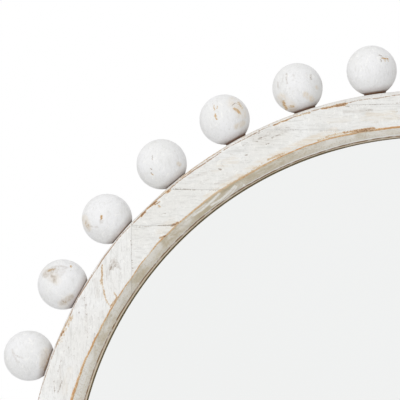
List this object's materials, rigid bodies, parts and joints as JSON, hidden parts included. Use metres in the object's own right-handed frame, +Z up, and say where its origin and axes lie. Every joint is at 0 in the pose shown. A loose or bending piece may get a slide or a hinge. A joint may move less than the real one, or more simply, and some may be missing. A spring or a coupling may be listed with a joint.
{
  "type": "round wall mirror",
  "caption": "Round wall mirror in a flat white-washed wooden ring with turned wooden balls around its outer edge and D-ring hangers on the back.",
  "frame": {"origin": "middle of the ring, halfway through its thickness", "axes": "+Z up the wall, +X to the right seen from the front, -Y out of the front of the mirror, +Y towards the wall"},
  "size_m": [0.9136, 0.0508, 0.9136],
  "materials": {
    "whitewashed_board": "white-washed, worn to the wood along edges and grain, matt",
    "whitewashed_ball": "white-washed, with small worn spots, matt",
    "dowel_wood": "bare hardwood",
    "mirror": "clear glass, silvered behind",
    "fibreboard": "bare fibreboard",
    "screw_steel": "zinc plated",
    "plated_steel": "zinc plated"
  },
  "bodies": {
    "mirror": {"frame_left_board": "whitewashed_board", "frame_right_board": "whitewashed_board", "frame_top_board": "whitewashed_board", "frame_top_edge_board": "whitewashed_board", "frame_top_left_inner_block": "whitewashed_board", "frame_top_left_middle_block": "whitewashed_board", "frame_top_left_outer_block": "whitewashed_board", "frame_top_right_inner_block": "whitewashed_board", "frame_top_right_middle_block": "whitewashed_board", "frame_top_right_outer_block": "whitewashed_board", "frame_bottom_board": "whitewashed_board", "frame_bottom_edge_board": "whitewashed_board", "frame_bottom_left_inner_block": "whitewashed_board", "frame_bottom_left_middle_block": "whitewashed_board", "frame_bottom_left_outer_block": "whitewashed_board", "frame_bottom_right_inner_block": "whitewashed_board", "frame_bottom_right_middle_block": "whitewashed_board", "frame_bottom_right_outer_block": "whitewashed_board", "ball_01": "whitewashed_ball", "ball_02": "whitewashed_ball", "ball_03": "whitewashed_ball", "ball_04": "whitewashed_ball", "ball_05": "whitewashed_ball", "ball_06": "whitewashed_ball", "ball_07": "whitewashed_ball", "ball_08": "whitewashed_ball", "ball_09": "whitewashed_ball", "ball_10": "whitewashed_ball", "ball_11": "whitewashed_ball", "ball_12": "whitewashed_ball", "ball_13": "whitewashed_ball", "ball_14": "whitewashed_ball", "ball_15": "whitewashed_ball", "ball_16": "whitewashed_ball", "ball_17": "whitewashed_ball", "ball_18": "whitewashed_ball", "ball_19": "whitewashed_ball", "ball_20": "whitewashed_ball", "ball_21": "whitewashed_ball", "ball_22": "whitewashed_ball", "ball_23": "whitewashed_ball", "ball_24": "whitewashed_ball", "ball_25": "whitewashed_ball", "ball_26": "whitewashed_ball", "ball_27": "whitewashed_ball", "ball_28": "whitewashed_ball", "ball_29": "whitewashed_ball", "ball_30": "whitewashed_ball", "ball_31": "whitewashed_ball", "ball_32": "whitewashed_ball", "ball_33": "whitewashed_ball", "ball_34": "whitewashed_ball", "ball_dowels": "dowel_wood", "mirror_glass": "mirror", "back_board": "fibreboard", "back_board_screws": "screw_steel", "hanger_screws": "screw_steel", "hanger_straps": "plated_steel"},
    "left_d_ring": {"left_d_ring": "plated_steel"},
    "right_d_ring": {"right_d_ring": "plated_steel"}
  },
  "joints": [
    {"name": "left_d_ring_swing", "type": "hinge", "parent": "mirror", "child": "left_d_ring", "pos_m": [-0.34316, 0.02, 0.18413], "axis": [1, 0, 0], "range_deg": [-4, 165]},
    {"name": "right_d_ring_swing", "type": "hinge", "parent": "mirror", "child": "right_d_ring", "pos_m": [0.34316, 0.02, 0.18413], "axis": [1, 0, 0], "range_deg": [-4, 165]}
  ]
}
